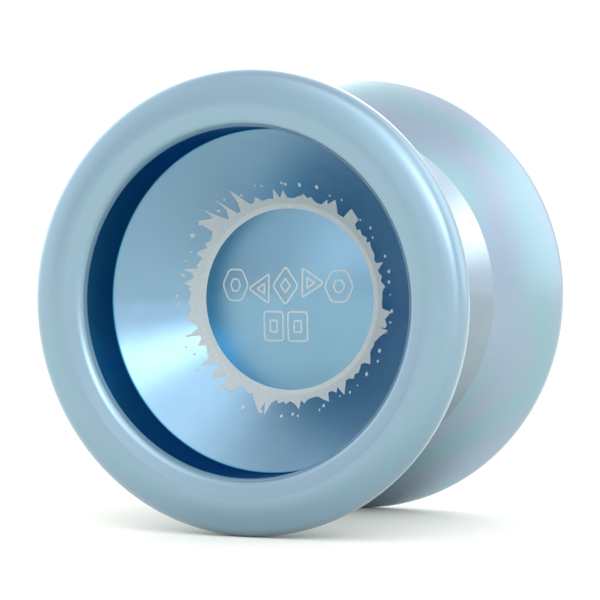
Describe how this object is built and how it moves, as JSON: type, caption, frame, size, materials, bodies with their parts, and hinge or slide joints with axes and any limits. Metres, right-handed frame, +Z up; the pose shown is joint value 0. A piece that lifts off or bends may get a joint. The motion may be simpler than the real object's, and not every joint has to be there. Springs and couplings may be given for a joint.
{
  "type": "yo-yo",
  "caption": "Metal ball-bearing yo-yo: two cupped turned halves on a threaded axle, with a shielded bearing and response pads in the string gap.",
  "frame": {"origin": "centre of the yo-yo, on the spin axis, midway between the halves", "axes": "+Y along the spin axis from the front half to the back half, +Z up as the yo-yo stands on its rims"},
  "size_m": [0.056, 0.041, 0.056],
  "materials": {
    "shell": "pale blue satin anodised, turned",
    "axle_steel": "stainless, threaded",
    "bearing_steel": "ground and polished",
    "cage_nylon": "moulded",
    "shield_steel": "stamped",
    "response_silicone": "matte silicone"
  },
  "bodies": {
    "yoyo": {"front_half": "shell", "back_half": "shell", "axle": "axle_steel", "bearing_inner_race": "bearing_steel", "response_pad_front": "response_silicone", "response_pad_back": "response_silicone"},
    "outer_ring": {"bearing_outer_race": "bearing_steel", "bearing_shield_front": "shield_steel", "bearing_shield_back": "shield_steel", "bearing_snap_ring_front": "shield_steel", "bearing_snap_ring_back": "shield_steel"},
    "ball_cage": {"bearing_cage": "cage_nylon"},
    "ball_1": {"ball_1": "bearing_steel"},
    "ball_2": {"ball_2": "bearing_steel"},
    "ball_3": {"ball_3": "bearing_steel"},
    "ball_4": {"ball_4": "bearing_steel"},
    "ball_5": {"ball_5": "bearing_steel"},
    "ball_6": {"ball_6": "bearing_steel"},
    "ball_7": {"ball_7": "bearing_steel"},
    "ball_8": {"ball_8": "bearing_steel"},
    "ball_9": {"ball_9": "bearing_steel"},
    "ball_10": {"ball_10": "bearing_steel"}
  },
  "joints": [
    {"name": "outer_ring_spin", "type": "hinge", "parent": "yoyo", "child": "outer_ring", "pos_m": [0, 0, 0], "axis": [0, 1, 0], "continuous": true},
    {"name": "ball_cage_spin", "type": "hinge", "parent": "yoyo", "child": "ball_cage", "pos_m": [0, 0, 0], "axis": [0, 1, 0], "continuous": true},
    {"name": "ball_1_roll", "type": "hinge", "parent": "ball_cage", "child": "ball_1", "pos_m": [0, 0, 0.00476], "axis": [0, 1, 0], "continuous": true},
    {"name": "ball_2_roll", "type": "hinge", "parent": "ball_cage", "child": "ball_2", "pos_m": [0.0028, 0, 0.00385], "axis": [0, 1, 0], "continuous": true},
    {"name": "ball_3_roll", "type": "hinge", "parent": "ball_cage", "child": "ball_3", "pos_m": [0.00453, 0, 0.00147], "axis": [0, 1, 0], "continuous": true},
    {"name": "ball_4_roll", "type": "hinge", "parent": "ball_cage", "child": "ball_4", "pos_m": [0.00453, 0, -0.00147], "axis": [0, 1, 0], "continuous": true},
    {"name": "ball_5_roll", "type": "hinge", "parent": "ball_cage", "child": "ball_5", "pos_m": [0.0028, 0, -0.00385], "axis": [0, 1, 0], "continuous": true},
    {"name": "ball_6_roll", "type": "hinge", "parent": "ball_cage", "child": "ball_6", "pos_m": [0, 0, -0.00476], "axis": [0, 1, 0], "continuous": true},
    {"name": "ball_7_roll", "type": "hinge", "parent": "ball_cage", "child": "ball_7", "pos_m": [-0.0028, 0, -0.00385], "axis": [0, 1, 0], "continuous": true},
    {"name": "ball_8_roll", "type": "hinge", "parent": "ball_cage", "child": "ball_8", "pos_m": [-0.00453, 0, -0.00147], "axis": [0, 1, 0], "continuous": true},
    {"name": "ball_9_roll", "type": "hinge", "parent": "ball_cage", "child": "ball_9", "pos_m": [-0.00453, 0, 0.00147], "axis": [0, 1, 0], "continuous": true},
    {"name": "ball_10_roll", "type": "hinge", "parent": "ball_cage", "child": "ball_10", "pos_m": [-0.0028, 0, 0.00385], "axis": [0, 1, 0], "continuous": true}
  ],
  "couplings": [
    {"joint": "ball_cage_spin", "follows": "outer_ring_spin", "ratio": 0.58333},
    {"joint": "ball_1_roll", "follows": "outer_ring_spin", "ratio": 2.9167},
    {"joint": "ball_2_roll", "follows": "outer_ring_spin", "ratio": 2.9167},
    {"joint": "ball_3_roll", "follows": "outer_ring_spin", "ratio": 2.9167},
    {"joint": "ball_4_roll", "follows": "outer_ring_spin", "ratio": 2.9167},
    {"joint": "ball_5_roll", "follows": "outer_ring_spin", "ratio": 2.9167},
    {"joint": "ball_6_roll", "follows": "outer_ring_spin", "ratio": 2.9167},
    {"joint": "ball_7_roll", "follows": "outer_ring_spin", "ratio": 2.9167},
    {"joint": "ball_8_roll", "follows": "outer_ring_spin", "ratio": 2.9167},
    {"joint": "ball_9_roll", "follows": "outer_ring_spin", "ratio": 2.9167},
    {"joint": "ball_10_roll", "follows": "outer_ring_spin", "ratio": 2.9167}
  ]
}
